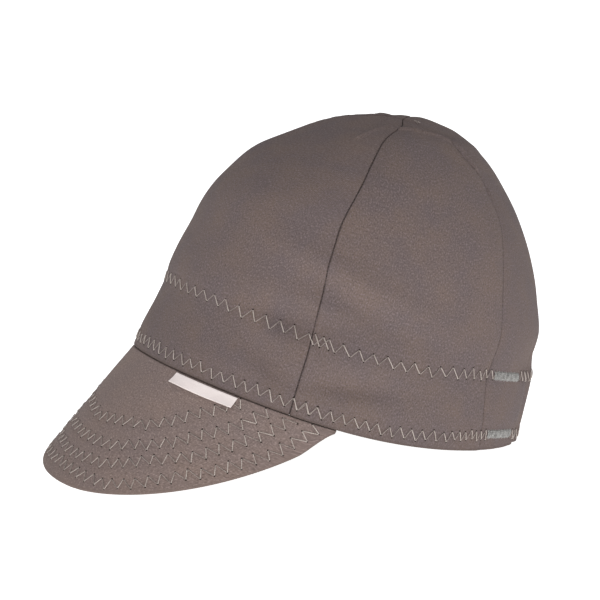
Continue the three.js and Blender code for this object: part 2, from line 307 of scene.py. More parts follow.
def row_height(row):
    """Millimetres of cloth from the rim up to a row."""
    band = BAND_HEIGHT * np.minimum(row, BAND_ROWS) / BAND_ROWS
    return band + ROW_LENGTH * np.maximum(row - BAND_ROWS, 0)


def front_seam(row):
    return FRONT_SEAM * section("front_seam", row_climb(row, PI / 2))


def back_seam(row):
    return BACK_SEAM * section("back_seam", row_climb(row, PI / 2))


def panel_offset(bearing, row):
    """How far a panel stands out along its own middle, which opens the seams."""
    facing, side = np.abs(turn(bearing)), np.sign(turn(bearing))
    first, last = front_seam(np.array(0.0)), back_seam(np.array(0.0))
    is_front, is_back = facing < front_seam(row), facing > back_seam(row)
    middle = side * np.select([is_front, is_back], [0, PI], (first + last) / 2)
    half = np.select([is_front, is_back], [first, PI - last], (last - first) / 2)
    way = np.stack([np.sin(middle), -np.cos(middle), np.zeros(middle.shape)], -1)
    return way * (SEAM_GAP / 2 / np.sin(half))[..., None]


def way_off(x, y, path):
    """The distance from a broken line."""
    nearest = np.full(np.broadcast(x, y).shape, np.inf)
    for (x0, y0), (x1, y1) in zip(path[:-1], path[1:]):
        step_x, step_y = x1 - x0, y1 - y0
        share = np.clip(((x - x0) * step_x + (y - y0) * step_y) / (step_x ** 2 + step_y ** 2), 0, 1)
        nearest = np.minimum(nearest, np.hypot(x - x0 - share * step_x, y - y0 - share * step_y))
    return nearest


def top_relief(bearing, row):
    from_crossing = (TOP_ROW - row) * ROW_LENGTH
    x, y = from_crossing * np.sin(bearing), -from_crossing * np.cos(bearing)
    out = sum(high * mound(way_off(x, y, path), wide) for high, wide, path in TOP_RIDGES)
    for place, level, across, tall, depth in TOP_DENTS:
        aside = turn(bearing - math.radians(place)) / math.radians(across)
        out = out + depth * np.exp(-(aside ** 2) - ((row - level) / tall) ** 2)
    return out * smoothstep(TOP_ROW - row, 0, 1)


def crease_relief(bearing, height, wide):
    out = 0
    for place, level, slope, length, width, depth in CREASES:
        aside = turn(bearing - math.radians(place)) * wide
        out = out + depth * slanted_mound(aside, height - level, slope, length, width)
    return out


GROOVE_DEPTH, GROOVE_WIDTH = 0.3, 3  # along each seam
ALLOWANCE_RISE, ALLOWANCE_EDGE = 0.28, (6.5, 8.5)  # where the allowance under the side panel ends
GAPE_ROW, GAPE_TALL, GAPE_WIDE = 13.4, 0.75, 1.1
ROW_SINK, ROW_WIDE = 0.3, 3.6  # along the two zigzag rows


def crown_relief(bearing, row):
    """How far the finer shapes of the cloth stand out: seams, puckers, stitched rows and waves."""
    climb = row_climb(row, bearing)
    wide = girth(bearing, climb)
    height = row_height(row)
    calm = smoothstep(TOP_ROW - row, 0, 1.5)
    out = np.zeros(np.broadcast(bearing, row).shape)
    facing = np.abs(turn(bearing))
    for number, (seam, away) in enumerate(((front_seam(row), 1), (back_seam(row), -1))):
        aside = (facing - seam) * wide * away  # positive on the side panel
        out -= GROOVE_DEPTH * mound(aside, GROOVE_WIDTH) * calm
        out += ALLOWANCE_RISE * smoothstep(aside, 0, 1.2) * (1 - smoothstep(aside, *ALLOWANCE_EDGE)) * calm
        waves = np.sin(2 * PI * height / 8.5 + 2 * number) + 0.6 * np.sin(2 * PI * height / 5.3 + bearing)
        out += 0.07 * waves * mound(aside, 7) * calm
    out += crease_relief(bearing, height, wide) + top_relief(bearing, row)
    # One stretch of the left back seam gapes.
    out -= mound((bearing - back_seam(row)) * wide, GAPE_WIDE) * mound(row - GAPE_ROW, GAPE_TALL)
    along = bearing * RIM_SIDE
    for middle in (LOWER_ROW, UPPER_ROW):
        out -= ROW_SINK * mound(height - middle, ROW_WIDE)
        out += 0.09 * np.sin(2 * PI * along / 6.1 + middle) * mound(height - middle, 6)
        out += 0.07 * np.sin(2 * PI * along / 9.7 + 2 * middle) * mound(height - middle, 9)
    waves = np.sin(3 * bearing + 0.021 * height + 0.8) * np.sin(0.045 * height - 2 * bearing)
    waves = waves + 0.6 * np.sin(7 * bearing - 0.05 * height) * np.sin(0.07 * height + 3 * bearing + 1)
    return out + 0.4 * waves * smoothstep(height, 4, 20) * smoothstep(TOP_ROW - row, 0, 4)


def round_over(distance, radius):
    """How far an edge rounded over a radius drops at a distance from the edge."""
    inside = np.clip(radius - distance, 0, radius)
    return radius - np.sqrt(np.maximum(radius * radius - inside * inside, 0))


# The brim's cloth


def brim_line(across):
    bearing = across * BRIM_HALF_ANGLE
    start = crown_skin(bearing, climb_above(bearing, 0), 0, 1.0) - np.array([0, 0, SEAM_GAP])
    fan = BRIM_FAN * bearing
    droop = BRIM_DROOP * curve(DROOPS[:, 0], DROOPS[:, 1], np.abs(across))
    heading = np.stack([np.sin(fan) * np.cos(droop), -np.cos(fan) * np.cos(droop), -np.sin(droop)], -1)
    fullness = np.maximum(1 - np.abs(across) ** BRIM_OUTLINE, 0) ** (1 / BRIM_CORNER)
    return start, heading, BRIM_END + (BRIM_LENGTH - BRIM_END) * fullness


def brim_frame(across, distance):
    """A point of the brim's upper face, its heading and the way under it."""
    step = 0.01
    start, heading, _ = brim_line(across)
    reach = np.asarray(distance, float)[..., None]

    def at(share):
        first, way, _ = brim_line(share)
        return first + way * reach

    under = unit(np.cross(at(across + step) - at(across - step), heading))
    return start + heading * reach, heading, under


def brim_point(across, distance, depth, level=0.0):
    point, heading, under = brim_frame(across, distance)
    depth = np.asarray(depth, float)
    slide = -level * under[..., 2] * depth / heading[..., 2]
    return point + heading * slide[..., None] + under * depth[..., None]


def brim_row(row, across):
    table = np.array(BRIM_ROWS[row], float)
    return curve(table[:, 0], table[:, 1], np.abs(across))


def brim_relief(across, distance):
    """How far the upper face sinks along its stitched rows and swells between them."""
    sink = np.zeros(np.broadcast(across, distance).shape)
    wide, step = BRIM_HALF_WIDTH, 0.01
    for row in range(len(BRIM_ROWS)):
        last = BRIM_ROWS[row][-1][0]
        rise = brim_row(row, np.abs(across) + step) - brim_row(row, np.abs(across) - step)
        slope = rise / (2 * step * wide)
        aside = (distance - brim_row(row, across)) / np.sqrt(1 + slope * slope)
        here = 1 - smoothstep(np.abs(across), last, last + 0.02)
        along = across * wide * np.sqrt(1 + slope * slope)
        sink += 0.34 * mound(aside, 2.6) * here
        sink += 0.1 * np.sin(2 * PI * along / 6.4 + row) * mound(aside, 4.2) * here
    sink += 0.16 * np.sin(9 * across + 0.09 * distance) * np.sin(0.13 * distance + 5 * across + 1)
    return sink


# Where it stands

rim_touch = crown_skin(np.array(PI), climb_above(np.array(PI), 0), 0, 1.0)
brim_touch = brim_point(np.array(0.0), BRIM_LENGTH, 0.75 * BRIM_THICKNESS)
STAND_TILT = math.atan2(rim_touch[2] - brim_touch[2], rim_touch[1] - brim_touch[1])
lean_cosine, lean_sine = math.cos(STAND_TILT), math.sin(STAND_TILT)
CAP_LIFT = rim_touch[1] * lean_sine - rim_touch[2] * lean_cosine - PRESSED
foremost = brim_point(np.array(0.0), BRIM_LENGTH - BRIM_THICKNESS / 2, 0.0)
CAP_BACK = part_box("brim")[0].y / MM - (foremost[1] * lean_cosine + foremost[2] * lean_sine)


def stand(points, press=True):
    """From the cap's own axes to the table, which flattens what touches it."""
    x, y, z = points[..., 0], points[..., 1], points[..., 2]
    up = z * lean_cosine - y * lean_sine + CAP_LIFT
    if press:
        up = np.maximum(up, 0)
    return np.stack([x, y * lean_cosine + z * lean_sine + CAP_BACK, up], -1)


# Making meshes


def link_in(name, data):
    thing = bpy.data.objects.new(name, data)
    bpy.context.scene.collection.objects.link(thing)
    return thing


def build(name, points, faces, cloth_map, material, painted_edge_shade=None):
    """A smooth mesh with its flat cloth coordinates, riding on the cap. Its last argument, from 0 to 1,
    says how far each point lies in the darker line of painted shade along an edge."""
    mesh = bpy.data.meshes.new(name)
    used = np.unique(np.concatenate(faces))
    renumbered = np.full(len(points), -1)
    renumbered[used] = np.arange(len(used))
    place = renumbered.tolist()
    kept_faces = [[place[corner] for corner in face] for face in faces]
    mesh.from_pydata((points[used] * MM).tolist(), [], kept_faces)
    mesh.polygons.foreach_set("use_smooth", [True] * len(mesh.polygons))
    layer = mesh.uv_layers.new(name="cloth")
    corners = np.empty(len(mesh.loops), int)
    mesh.loops.foreach_get("vertex_index", corners)
    layer.uv.foreach_set("vector", (cloth_map[used][corners] * MM).astype(np.float32).ravel())
    if painted_edge_shade is not None:
        edge = mesh.attributes.new("painted_edge_shade", "FLOAT", "POINT")
        edge.data.foreach_set("value", painted_edge_shade[used].astype(np.float32))
    mesh.update()
    mesh.materials.append(material)
    piece = link_in(name, mesh)
    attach(piece, "root")
    return piece


def strip(first, second, flipped=False):
    """Quads between two lines of points, or between each two of many lines."""
    quads = np.stack([first[..., :-1], first[..., 1:], second[..., 1:], second[..., :-1]], -1).reshape(-1, 4)
    return quads[:, [0, 3, 2, 1]] if flipped else quads


def shell_faces(rows, columns, ring=False, pole=False):
    """Faces of a closed shell between an outer and an inner grid of rows by columns."""
    outer = np.arange(rows * columns).reshape(rows, columns)
    inner = outer + rows * columns
    if pole:
        outer, inner = outer.copy(), inner.copy()
        outer[-1], inner[-1] = outer[-1, 0], inner[-1, 0]
    if ring:
        outer, inner = np.hstack([outer, outer[:, :1]]), np.hstack([inner, inner[:, :1]])
    quads = [
        strip(outer[:-1], outer[1:]), strip(inner[:-1], inner[1:], flipped=True), strip(inner[0], outer[0])
    ]
    if not pole:
        quads.append(strip(outer[-1], inner[-1]))
    if not ring:
        quads.append(strip(inner[:, 0], outer[:, 0], flipped=True))
        quads.append(strip(outer[:, -1], inner[:, -1], flipped=True))
    faces = []
    for face in np.concatenate(quads).tolist():
        kept = [corner for i, corner in enumerate(face) if corner != face[i - 1]]
        if len(kept) > 2:
            faces.append(kept)
    return faces


def shell(name, outer, inner, cloth_map, material, ring=False, pole=False, painted_edge_shade=None):
    rows, columns = outer.shape[:2]
    points = np.concatenate([outer.reshape(-1, 3), inner.reshape(-1, 3)])
    both = np.concatenate([cloth_map.reshape(-1, 2)] * 2)
    faces = shell_faces(rows, columns, ring, pole)
    if painted_edge_shade is not None:
        painted_edge_shade = np.concatenate([painted_edge_shade.ravel()] * 2)
    return build(name, stand(points), faces, both, material, painted_edge_shade)


def strands(name, runs, radius, material, flatness=0.8, sides=6):
    """Round or flattened threads along runs of points with the cloth's normals."""
    points, faces, cloth_map = [], [], []
    count = 0
    angles = np.arange(sides) * 2 * PI / sides
    for number, (path, normal) in enumerate(runs):
        tangent = unit(np.gradient(path, axis=0))
        aside = unit(np.cross(tangent, normal))
        up = np.cross(aside, tangent)
        rim = radius * (np.cos(angles)[:, None, None] * aside + flatness * np.sin(angles)[:, None, None] * up)
        rings = (path[None] + rim).transpose(1, 0, 2)
        length = len(path)
        points.append(rings.reshape(-1, 3))
        run = run_along(path)
        around = angles * radius + 7.3 * number  # so that no two stitches look the same
        cloth_map.append(np.stack(np.broadcast_arrays(around[None, :], run[:, None]), -1).reshape(-1, 2))
        index = count + np.arange(length * sides).reshape(length, sides)
        after = np.roll(index, -1, axis=1)
        walls = np.stack([index[:-1], after[:-1], after[1:], index[1:]], -1).reshape(-1, 4)
        faces += walls.tolist()
        faces.append(index[0, ::-1].tolist())
        faces.append(index[-1].tolist())
        count += length * sides
    return build(name, np.concatenate(points), faces, np.concatenate(cloth_map), material)


# Materials


def new_group(name, inputs, outputs):
    group = bpy.data.node_groups.new(name, "ShaderNodeTree")
    for label, kind, value in inputs:
        socket = group.interface.new_socket(label, in_out="INPUT", socket_type=kind)
        if value is not None:
            socket.default_value = value
    for label, kind in outputs:
        group.interface.new_socket(label, in_out="OUTPUT", socket_type=kind)
    return group, group.nodes.new("NodeGroupInput"), group.nodes.new("NodeGroupOutput")


def node(tree, kind, values=(), **settings):
    made = tree.nodes.new(kind)
    for name, value in settings.items():
        setattr(made, name, value)
    for socket, value in dict(values).items():
        if isinstance(value, bpy.types.NodeSocket):
            tree.links.new(value, made.inputs[socket])
        else:
            made.inputs[socket].default_value = value
    return made


def maths(tree, operation, *values, clamp=False):
    made = node(tree, "ShaderNodeMath", dict(enumerate(values)), operation=operation, use_clamp=clamp)
    return made.outputs[0]


def wave(tree, phase):
    """A sine, from 0 to 1."""
    return maths(tree, "MULTIPLY_ADD", maths(tree, "SINE", phase), 0.5, 0.5)


def noise(tree, vector, scale, detail, roughness=0.5):
    values = {"Vector": vector, "Scale": scale, "Detail": detail, "Roughness": roughness}
    return node(tree, "ShaderNodeTexNoise", values).outputs["Fac"]


def spread_out(tree, value, low, high, to_low=0, to_high=1):
    """A value brought from one range to another, and no further."""
    ends = {"From Min": low, "From Max": high, "To Min": to_low, "To Max": to_high}
    return node(tree, "ShaderNodeMapRange", {"Value": value, **ends}).outputs[0]


def weave_group():
    """A diagonal cotton twill: how high its ribs stand, and masks of its paler fibres, of its dark
    pits and of its worn patches."""
    tree, given, out = new_group(
        "twill weave",
        [
            ("Cloth", "NodeSocketVector", None),
            ("Rib", "NodeSocketFloat", 0.8),
            ("Lean", "NodeSocketFloat", 0.55),
        ],
        [(label, "NodeSocketFloat") for label in ("Height", "Fibres", "Pits", "Mottle")],
    )
    cloth = given.outputs["Cloth"]
    wander = noise(tree, cloth, 260, 2)
    split = node(tree, "ShaderNodeSeparateXYZ", {0: cloth})
    slant = maths(tree, "MULTIPLY_ADD", split.outputs["Y"], given.outputs["Lean"], split.outputs["X"])
    ribs = maths(tree, "DIVIDE", slant, maths(tree, "MULTIPLY", given.outputs["Rib"], MM / (2 * PI)))
    loose = maths(tree, "MULTIPLY_ADD", wander, 5, ribs)
    picks = maths(tree, "DIVIDE", split.outputs["Y"], 0.55 * MM / (2 * PI))
    pick = wave(tree, maths(tree, "MULTIPLY_ADD", loose, 0.5, picks))
    height = maths(tree, "MULTIPLY_ADD", pick, 0.35, wave(tree, loose))
    height = maths(tree, "MULTIPLY_ADD", noise(tree, cloth, 1700, 3, 0.65), 0.8, height)
    long_way = node(tree, "ShaderNodeMapping", {"Vector": cloth, "Scale": (1500, 1000, 1)})
    fibres = spread_out(tree, noise(tree, long_way.outputs[0], 1, 2), 0.5, 0.7)
    pits = spread_out(tree, noise(tree, cloth, 1150, 1), 0.48, 0.3)
    mottle = noise(tree, cloth, 38, 4, 0.6)
    for label, value in (("Height", height), ("Fibres", fibres), ("Pits", pits), ("Mottle", mottle)):
        tree.links.new(value, out.inputs[label])
    return tree


weave = weave_group()


def set_inputs(shader, values):
    for label, value in values.items():
        shader.inputs[label].default_value = value


def principled(name, roughness, sheen=0.0, sheen_tint=(1, 1, 1, 1)):
    material = bpy.data.materials.new(name)
    material.use_nodes = True
    tree = material.node_tree
    shader = tree.nodes["Principled BSDF"]
    set_inputs(shader, {"Roughness": roughness, "Specular IOR Level": 0.25})
    set_inputs(shader, {"Sheen Weight": sheen, "Sheen Roughness": 0.6, "Sheen Tint": sheen_tint})
    return material, tree, shader


def cloth_coordinates(tree):
    return node(tree, "ShaderNodeUVMap", uv_map="cloth").outputs[0]


def mix_colour(tree, factor, first, second):
    made = node(tree, "ShaderNodeMix", data_type="RGBA")
    for socket, value in ((made.inputs[0], factor), (made.inputs[6], first), (made.inputs[7], second)):
        if isinstance(value, bpy.types.NodeSocket):
            tree.links.new(value, socket)
        else:
            socket.default_value = value
    return made.outputs[2]


def colour(red, green, blue):
    """A colour as seen, from 0 to 1, in Blender's linear values."""
    linear = [v / 12.92 if v <= 0.04045 else ((v + 0.055) / 1.055) ** 2.4 for v in (red, green, blue)]
    return (*linear, 1)


def finish_surface(tree, shader, base, bump, distance, height):
    tree.links.new(base, shader.inputs["Base Color"])
    relief = node(tree, "ShaderNodeBump", {"Strength": bump, "Distance": distance, "Height": height})
    tree.links.new(relief.outputs[0], shader.inputs["Normal"])


def twill(name, warm, cool, rib=0.8, bump=0.4, painted_groove_shade=0.7):
    """A twill with two tints as seen, which run into each other in patches."""
    material, tree, shader = principled(name, 0.92, 0.05, colour(0.9, 0.85, 0.82))
    warm, cool = colour(*warm), colour(*cool)
    woven = node(tree, "ShaderNodeGroup", node_tree=weave)
    tree.links.new(cloth_coordinates(tree), woven.inputs["Cloth"])
    woven.inputs["Rib"].default_value = rib
    height = woven.outputs["Height"]
    base = mix_colour(tree, spread_out(tree, woven.outputs["Mottle"], 0.38, 0.62), cool, warm)
    dark = (*(0.55 * v for v in warm[:3]), 1)
    pale = (*(min(1, 1.7 * v) for v in cool[:3]), 1)
    # Painted shade: the weave is darker where it stands low, in its grooves.
    base = mix_colour(tree, spread_out(tree, height, 0.3, 1.3, painted_groove_shade, 0), base, dark)
    base = mix_colour(tree, maths(tree, "MULTIPLY", woven.outputs["Pits"], 0.7), base, dark)
    base = mix_colour(tree, maths(tree, "MULTIPLY", woven.outputs["Fibres"], 0.7), base, pale)
    # Painted shade: a darker line along the rim's edge and along the brim's edge and ends, where the joint
    # with the brim and the brim's underside lie in shade.
    edge = node(tree, "ShaderNodeAttribute", attribute_name="painted_edge_shade").outputs["Fac"]
    base = mix_colour(tree, maths(tree, "MULTIPLY", edge, 0.75), base, dark)
    finish_surface(tree, shader, base, bump, 0.0004, height)
    return material


def spun_thread(name, pale, dark):
    """Sewing thread of two tints as seen: two plies twisted round each other, with a slight sheen."""
    material, tree, shader = principled(name, 0.62, 0.2)
    cloth = cloth_coordinates(tree)
    split = node(tree, "ShaderNodeSeparateXYZ", {0: cloth})
    along = maths(tree, "MULTIPLY", split.outputs["Y"], 7000)
    twist = maths(tree, "MULTIPLY_ADD", split.outputs["X"], 4000, along)
    plies = wave(tree, twist)
    worn = spread_out(tree, noise(tree, cloth, 170, 1), 0.35, 0.6)
    shade = maths(tree, "MULTIPLY_ADD", plies, 0.4, maths(tree, "MULTIPLY", noise(tree, cloth, 900, 2), 0.5))
    shade = maths(tree, "MULTIPLY", shade, maths(tree, "MULTIPLY_ADD", worn, 0.6, 0.5), clamp=True)
    finish_surface(tree, shader, mix_colour(tree, shade, colour(*dark), colour(*pale)), 0.4, 0.0002, plies)
    return material


def ribbon(name):
    """Off-white woven label ribbon: fine ribs across, a plain weave and a trace of warmth."""
    material, tree, shader = principled(name, 0.6, 0.25)
    cloth = cloth_coordinates(tree)
    split = node(tree, "ShaderNodeSeparateXYZ", {0: cloth})
    across = maths(tree, "SINE", maths(tree, "MULTIPLY", split.outputs["X"], 2 * PI / (0.42 * MM)))
    along = maths(tree, "SINE", maths(tree, "MULTIPLY", split.outputs["Y"], 2 * PI / (0.3 * MM)))
    height = maths(tree, "MULTIPLY_ADD", across, 0.25, maths(tree, "MULTIPLY_ADD", along, 0.25, 0.5))
    tint = noise(tree, cloth, 120, 3)
    base = mix_colour(tree, tint, colour(0.94, 0.905, 0.895), colour(0.91, 0.86, 0.85))
    base = mix_colour(tree, maths(tree, "MULTIPLY", height, 0.25), base, colour(0.8, 0.76, 0.75))
    finish_surface(tree, shader, base, 0.25, 0.0002, height)
    return material


crown_cloth = twill("crown twill", (0.447, 0.388, 0.365), (0.408, 0.366, 0.37))
brim_cloth = twill("brim twill", (0.508, 0.443, 0.416), (0.478, 0.424, 0.412), bump=0.2, painted_groove_shade=0.3)
band_cloth = twill("band twill", (0.45, 0.395, 0.38), (0.43, 0.38, 0.375))
row_thread = spun_thread("row thread", (0.86, 0.82, 0.79), (0.54, 0.49, 0.46))
# Painted shade: a darker copy of the row thread for one leg of each zigzag, as if turned away from the light.
shaded_thread = spun_thread("row thread, painted shade", (0.7, 0.65, 0.62), (0.4, 0.36, 0.34))
tack_thread = spun_thread("tack thread", (0.74, 0.74, 0.73), (0.38, 0.37, 0.36))
# Painted shade: dark stitches along the seams stand in for the shade in their grooves.
seam_shade_thread = spun_thread("seam line shade", (0.26, 0.22, 0.21), (0.13, 0.11, 0.1))
label_ribbon = ribbon("label ribbon")
# Painted shade: a dark disc at every needle hole stands in for the shade inside it.
hole_shade, hole_tree, hole_shader = principled("needle holes", 1.0)
hole_speck = noise(hole_tree, cloth_coordinates(hole_tree), 700, 2)
hole_colour = mix_colour(hole_tree, hole_speck, colour(0.1, 0.08, 0.07), colour(0.22, 0.18, 0.16))
hole_tree.links.new(hole_colour, hole_shader.inputs["Base Color"])

# The four crown panels

# Rows close together at the rounded rim and then every millimetre or two.
EDGE_STEPS = np.array([0, 0.12, 0.3, 0.55, 0.85, 1.2, 1.8])
band_levels = np.concatenate([EDGE_STEPS, np.arange(2.8, BAND_HEIGHT, 1.15)]) * BAND_ROWS / BAND_HEIGHT
PANEL_ROWS = np.concatenate([band_levels, np.linspace(BAND_ROWS, TOP_ROW, 131)])
NEAR_SEAM = np.array([0, 0.18, 0.4, 0.7, 1.1, 1.6, 2.3, 3.2, 4.4, 5.8, 7.2, 8.6])
SEAM_ROUND = 0.7
SEAM_STITCH = 2.6
RIM_ROUND = CROWN_WALL / 2


def inside_relief(bearing, row, edge):
    """The seam allowances lie against the inside of the panels, folded under and stitched down."""
    ridge = 0.7 * (1 - smoothstep(edge, 4.6, 5.2)) * smoothstep(row_height(row), 43, 45)
    return ridge * smoothstep(TOP_ROW - row, 0, 0.6)


def crown_panel(name, start_seam, end_seam, columns, flat, area):
    rows = PANEL_ROWS
    first, last = start_seam(np.array(0.0)), end_seam(np.array(0.0))
    start, end = start_seam(rows), end_seam(rows)
    middle, half = (first + last) / 2, (last - first) / 2
    span = end - start
    spread = NEAR_SEAM[None, :] / NEAR_SEAM[-1]

    def near(seam):
        wide = girth(seam, row_climb(rows, seam))
        return np.minimum(NEAR_SEAM[None, :] / wide[:, None], 0.3 * span[:, None] * spread)

    left, right = start[:, None] + near(start), end[:, None] - near(end)[:, ::-1]
    inner_share = np.linspace(0, 1, columns + 2)[1:-1]
    bearing = np.hstack([left, between(left[:, -1:], right[:, :1], inner_share), right])
    row = np.broadcast_to(rows[:, None], bearing.shape)
    climb = row_climb(row, bearing)
    wide = girth(bearing, climb)
    edge = np.minimum(bearing - start[:, None], end[:, None] - bearing) * wide
    height = row_height(row)
    level = edge_level(height)
    stitch = 0.16 * np.sin(2 * PI * height / SEAM_STITCH)
    open_seam = smoothstep(TOP_ROW - row, 0, 0.5)
    rim_drop = round_over(height, RIM_ROUND)
    relief = crown_relief(bearing, row) - rim_drop - round_over(edge, SEAM_ROUND + stitch) * open_seam
    outer = crown_skin(bearing, climb, 0.0, level, relief)
    inward = rim_drop - inside_relief(bearing, row, edge)
    inner = crown_skin(bearing, climb, CROWN_WALL, level, inward)
    offset = np.array([math.sin(middle), -math.cos(middle), 0]) * (SEAM_GAP / 2 / math.sin(half))
    centre = crown_point(np.full(len(rows), middle), row_climb(rows, middle))
    run = run_along(centre)
    cloth_map = np.stack([(bearing - middle) * wide, np.broadcast_to(run[:, None], bearing.shape)], -1)
    # Painted shade along the rim's edge, at the joint with the brim.
    painted_edge_shade = 1 - smoothstep(height, 0.4, 1.7)
    piece = shell(
        name, outer + offset, inner + offset, cloth_map, crown_cloth, pole=True, painted_edge_shade=painted_edge_shade
    )
    return piece


def right_front_seam(row):
    return 2 * PI - front_seam(row)


def right_back_seam(row):
    return 2 * PI - back_seam(row)


# Side, the seams at both ends, columns, and the cut's flat size and area in metres
PANELS = (
    ("front", lambda row: -front_seam(row), front_seam, 120, (0.2, 0.22), 0.026),
    ("left", front_seam, back_seam, 76, (0.11, 0.22), 0.0145),
    ("back", back_seam, right_back_seam, 176, (0.2, 0.22), 0.03),
    ("right", right_back_seam, right_front_seam, 76, (0.11, 0.22), 0.0145),
)
for side, *cut in PANELS:
    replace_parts(crown_panel(f"crown_{side}_cloth", *cut), f"crown_{side}_panel")

# The inner band

BAND_COLUMNS = 430
band_bearings = np.arange(BAND_COLUMNS) * 2 * PI / BAND_COLUMNS
band_heights = np.concatenate([
    BAND_INSET + EDGE_STEPS, np.arange(4.4, BAND_HEIGHT - 2, 1.3), (BAND_HEIGHT - EDGE_STEPS)[::-1]
])
bearing, height = np.broadcast_arrays(band_bearings[None, :], band_heights[:, None])
edge = np.minimum(height - BAND_INSET, BAND_HEIGHT - height)
fold_round = round_over(edge, BAND_WALL / 2)
level = edge_level(height)
climb = climb_above(bearing, height)
pinch = 0.35 * (mound(height - LOWER_ROW, 3) + mound(height - UPPER_ROW, 3))
beside_rows = mound(height - LOWER_ROW, 6) + mound(height - UPPER_ROW, 6)
ripple = 0.12 * np.sin(bearing * RIM_SIDE / 6.1 * 2) * beside_rows
outside = CROWN_WALL + SEAM_GAP
band_outer = crown_skin(bearing, climb, outside, level, -fold_round)
band_inner = crown_skin(bearing, climb, outside + BAND_WALL, level, fold_round + pinch + ripple)
band_map = np.stack([bearing * BAND_RADIUS, height], -1)
band_piece = shell("inner_band_cloth", band_outer, band_inner, band_map, band_cloth, ring=True)
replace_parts(band_piece, "inner_band")

# The brim

brim_end_steps = np.array([-1, -0.9965, -0.992, -0.986, -0.978])
across_steps = np.concatenate([brim_end_steps, np.linspace(-0.965, 0.965, 151), -brim_end_steps[::-1]])
lengthwise = np.concatenate([
    np.array([0, 0.15, 0.35, 0.6, 1, 1.6]) / BRIM_LENGTH,
    np.linspace(0.035, 0.965, 62),
    1 - np.array([1.7, 1.35, 1, 0.7, 0.42, 0.2, 0.06, 0]) / BRIM_LENGTH,
])
across = np.broadcast_to(across_steps[None, :], (len(lengthwise), len(across_steps)))
# The ends run out thin and pointed.
taper = 0.4 + 0.6 * smoothstep(1 - np.abs(across_steps), -0.01, 0.08)
length = brim_line(across_steps)[2] * taper
distance = lengthwise[:, None] * length[None, :]
half_thick = BRIM_THICKNESS / 2
from_edge = length[None, :] - distance
# The edge is rounded over half the brim's thickness, and the joint over less.
edge_round = round_over(from_edge, half_thick)
joint_round = round_over(distance, 0.6)
side = (1 - np.abs(across)) * BRIM_HALF_WIDTH
side_round = round_over(side, half_thick)
fade = smoothstep(np.minimum(from_edge, side), 0, 4)
waves = brim_relief(across, distance) * fade
top_depth = np.minimum(waves + edge_round + joint_round + side_round, half_thick) * taper
under_round = np.minimum(edge_round + side_round + 0.25 * waves, half_thick)
under_depth = (BRIM_THICKNESS - under_round) * taper
# All layers are caught in the joint, also at the ends.
under_depth = np.maximum(under_depth, BRIM_THICKNESS * (1 - smoothstep(distance, 0.5, 2.5)))
level = np.clip(1 - distance / 6, 0, 1)
brim_top = brim_point(across, distance, top_depth, level)
brim_under = brim_point(across, distance, under_depth, level)
brim_map = np.stack([across * BRIM_HALF_WIDTH * (1 - 0.15 * lengthwise[:, None]), distance], -1)
# Painted shade along the brim's edge and ends, where its underside lies in shade.
brim_painted_edge_shade = 1 - smoothstep(np.minimum(from_edge, side), 0.3, 2)
brim_piece = shell("brim_cloth", brim_under, brim_top, brim_map, brim_cloth, painted_edge_shade=brim_painted_edge_shade)
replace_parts(brim_piece, "brim")

# The label

label_end_steps = np.array([0, 0.004, 0.01, 0.02, 0.035])
label_columns = np.concatenate([label_end_steps, np.linspace(0.06, 0.94, 36), 1 - label_end_steps[::-1]])
label_rows = np.concatenate([[0, 0.02, 0.05], np.linspace(0.1, 0.9, 14), [0.94, 0.97, 0.99, 1]])
share, drop = np.broadcast_arrays(label_columns[None, :], label_rows[:, None])
label_across = between(LABEL_START, LABEL_END, share) / BRIM_HALF_ANGLE
label_distance = LABEL_INSET + LABEL_DROP * drop
edge = np.minimum(np.minimum(share, 1 - share) * LABEL_LENGTH, np.minimum(drop, 1 - drop) * LABEL_DROP)
label_round = round_over(edge, 0.35)
curl = 1.1 * drop ** 2 * (0.6 + 0.4 * np.cos(2 * PI * share)) + 0.12 * np.sin(7 * share + 1) * drop
lie = -SEAM_GAP - 0.1 - curl
label_under = brim_point(label_across, label_distance, lie - label_round)
label_top = brim_point(label_across, label_distance, lie - LABEL_THICKNESS + label_round)
label_map = np.stack([share * LABEL_LENGTH, drop * LABEL_DROP], -1)
label_piece = shell("label_tab_ribbon", label_under, label_top, label_map, label_ribbon)
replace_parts(label_piece, "label_tab")

# Zigzag rows


def zigzag(length, step):
    """Turning points of a zigzag along a row of a length: how far along and how far aside."""
    count = max(2, round(length / (step / 2)))
    turns = np.arange(count + 1)
    along = length * turns / count + 0.3 * np.sin(2.4 * turns + 1) + 0.2 * np.sin(1.3 * turns)
    aside = ZIGZAG_HEIGHT / 2 + 0.25 * np.sin(1.9 * turns) + 0.2 * np.sin(3.7 * turns + 2)
    return np.clip(along, 0, length), aside * np.where(turns % 2 == 0, 1, -1)


def crown_face(bearing, height, lift, depth=None):
    """Points and normals at a height above the rim, lifted off the crown's outside or, with a
    depth, off the inside."""
    row = height * BAND_ROWS / BAND_HEIGHT
    climb = climb_above(bearing, height)
    level = edge_level(height)
    normal = crown_normal(bearing, climb)
    offset = panel_offset(bearing, row)
    if depth is None:
        return crown_skin(bearing, climb, 0.0, level, crown_relief(bearing, row) + lift) + offset, normal
    return crown_skin(bearing, climb, depth, level, -lift) + offset, -normal


def lay(points, normal):
    """Threads on the table: points and normals turned as the cap stands."""
    turned = stand(points + normal, False) - stand(points, False)
    return stand(points, False), unit(turned)


def dip(steps, proud, sunk=0.3, share=0.14):
    """How a stitch rises out of one needle hole and goes down the next."""
    t = np.linspace(0, 1, steps)
    return t, -sunk + (sunk + proud) * smoothstep(np.minimum(t, 1 - t), 0, share)


def row_run(height, start, end):
    """Bearings of a level row as a function of the millimetres along it."""
    bearings = np.linspace(start, end, 1200)
    return run_along(crown_point(bearings, climb_above(bearings, height))), bearings


